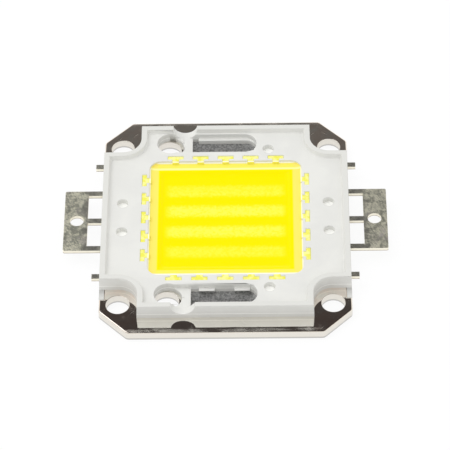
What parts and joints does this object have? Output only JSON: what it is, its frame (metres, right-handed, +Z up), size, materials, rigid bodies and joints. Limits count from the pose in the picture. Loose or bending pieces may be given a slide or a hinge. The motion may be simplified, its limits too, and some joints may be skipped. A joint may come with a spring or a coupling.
{
  "type": "cob led module",
  "caption": "Square chip-on-board LED light engine on a plated copper base with a white moulded frame, a flat phosphor light field and two side terminals.",
  "frame": {"origin": "middle of the underside of the base plate", "axes": "+X to the right-hand terminal, +Y to the back, +Z up out of the light field"},
  "size_m": [0.052, 0.046, 0.0042],
  "materials": {
    "nickel_plate": "bright nickel plating on stamped copper, mirror-like top, satin sides",
    "white_moulding": "fine matt white moulded thermoplastic",
    "tinned_strip": "dull tinned copper strip with fine rolling lines",
    "phosphor_silicone": "translucent yellow phosphor silicone with a soft gloss",
    "led_die": "clear polished sapphire die",
    "die_adhesive": "pale cured die adhesive",
    "gold_wire": "bright drawn gold wire"
  },
  "bodies": {
    "root": {"base_plate": "nickel_plate", "housing": "white_moulding", "left_leadframe": "tinned_strip", "right_leadframe": "tinned_strip", "phosphor_fill": "phosphor_silicone", "die_row_1": "led_die", "die_row_2": "led_die", "die_row_3": "led_die", "die_row_4": "led_die", "die_attach_row_1": "die_adhesive", "die_attach_row_2": "die_adhesive", "die_attach_row_3": "die_adhesive", "die_attach_row_4": "die_adhesive", "bond_wires_row_1": "gold_wire", "bond_wires_row_2": "gold_wire", "bond_wires_row_3": "gold_wire", "bond_wires_row_4": "gold_wire"}
  },
  "joints": []
}
